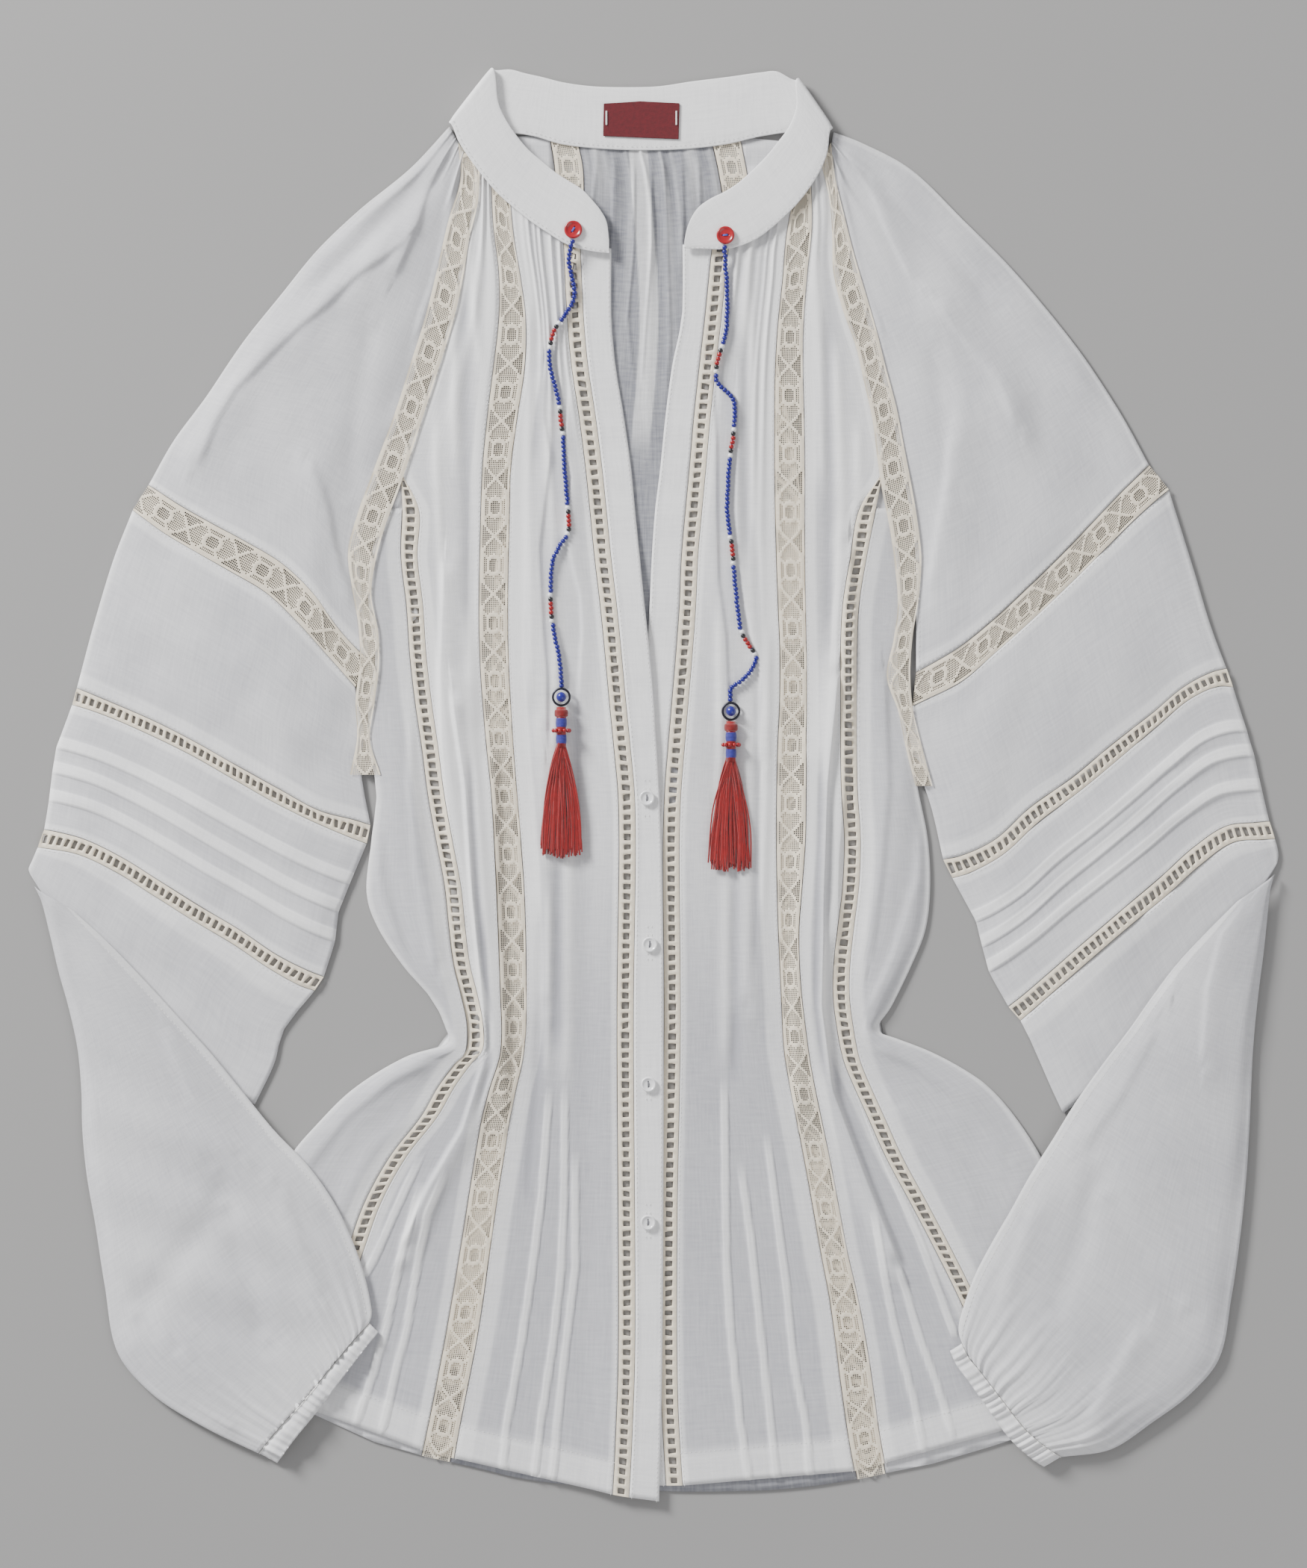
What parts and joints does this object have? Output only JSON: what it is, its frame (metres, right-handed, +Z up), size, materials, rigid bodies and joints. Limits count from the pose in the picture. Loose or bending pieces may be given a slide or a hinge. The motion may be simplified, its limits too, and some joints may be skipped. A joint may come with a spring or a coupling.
{
  "type": "lace-trimmed cotton tunic laid flat",
  "caption": "Raglan-sleeved cotton tunic laid flat, front up and forearms folded over, with a stand collar, insertion lace, ladder strips, a buttoned front and beaded neck tassels.",
  "frame": {"origin": "centre of the outline at the surface that the garment lies on", "axes": "+Y from hem to collar, +X to the viewer's right across the front, +Z up from the surface"},
  "size_m": [0.6708, 0.7691, 0.011],
  "materials": {
    "cloth": "thin white cotton voile, single layer",
    "doubled_cloth": "white cotton voile in two layers",
    "lace": "off-white cotton bobbin lace",
    "ladder": "off-white drawn-thread ladder work",
    "label": "woven satin ribbon",
    "pearl": "white pearl",
    "red_button": "red polyester",
    "beads": "opaque glass seed beads",
    "ring_metal": "dark gunmetal",
    "silk": "red silky thread with blue wraps"
  },
  "bodies": {
    "root": {"left_placket": "doubled_cloth", "left_cuff": "doubled_cloth", "left_front_ladder": "ladder", "left_side_ladder": "ladder", "left_upper_sleeve_ladder": "ladder", "left_lower_sleeve_ladder": "ladder", "left_inner_front": "cloth", "left_outer_front": "cloth", "left_side_panel": "cloth", "left_back": "cloth", "left_sleeve_cap": "cloth", "left_sleeve_middle": "cloth", "left_sleeve_tucks": "cloth", "left_lower_sleeve": "cloth", "left_forearm": "cloth", "left_sleeve_under": "cloth", "left_front_lace": "lace", "left_raglan_lace": "lace", "left_back_lace": "lace", "left_sleeve_lace": "lace", "left_bead_string": "beads", "left_tassel_bead": "beads", "left_ring": "ring_metal", "left_tassel": "silk", "right_placket": "doubled_cloth", "right_cuff": "doubled_cloth", "right_front_ladder": "ladder", "right_side_ladder": "ladder", "right_upper_sleeve_ladder": "ladder", "right_lower_sleeve_ladder": "ladder", "right_inner_front": "cloth", "right_outer_front": "cloth", "right_side_panel": "cloth", "right_back": "cloth", "right_sleeve_cap": "cloth", "right_sleeve_middle": "cloth", "right_sleeve_tucks": "cloth", "right_lower_sleeve": "cloth", "right_forearm": "cloth", "right_sleeve_under": "cloth", "right_front_lace": "lace", "right_raglan_lace": "lace", "right_back_lace": "lace", "right_sleeve_lace": "lace", "right_bead_string": "beads", "right_tassel_bead": "beads", "right_ring": "ring_metal", "right_tassel": "silk", "centre_back": "cloth", "collar": "doubled_cloth", "label": "label", "red_button_left": "red_button", "red_button_right": "red_button", "pearl_button_1": "pearl", "pearl_button_2": "pearl", "pearl_button_3": "pearl", "pearl_button_4": "pearl"}
  },
  "joints": []
}
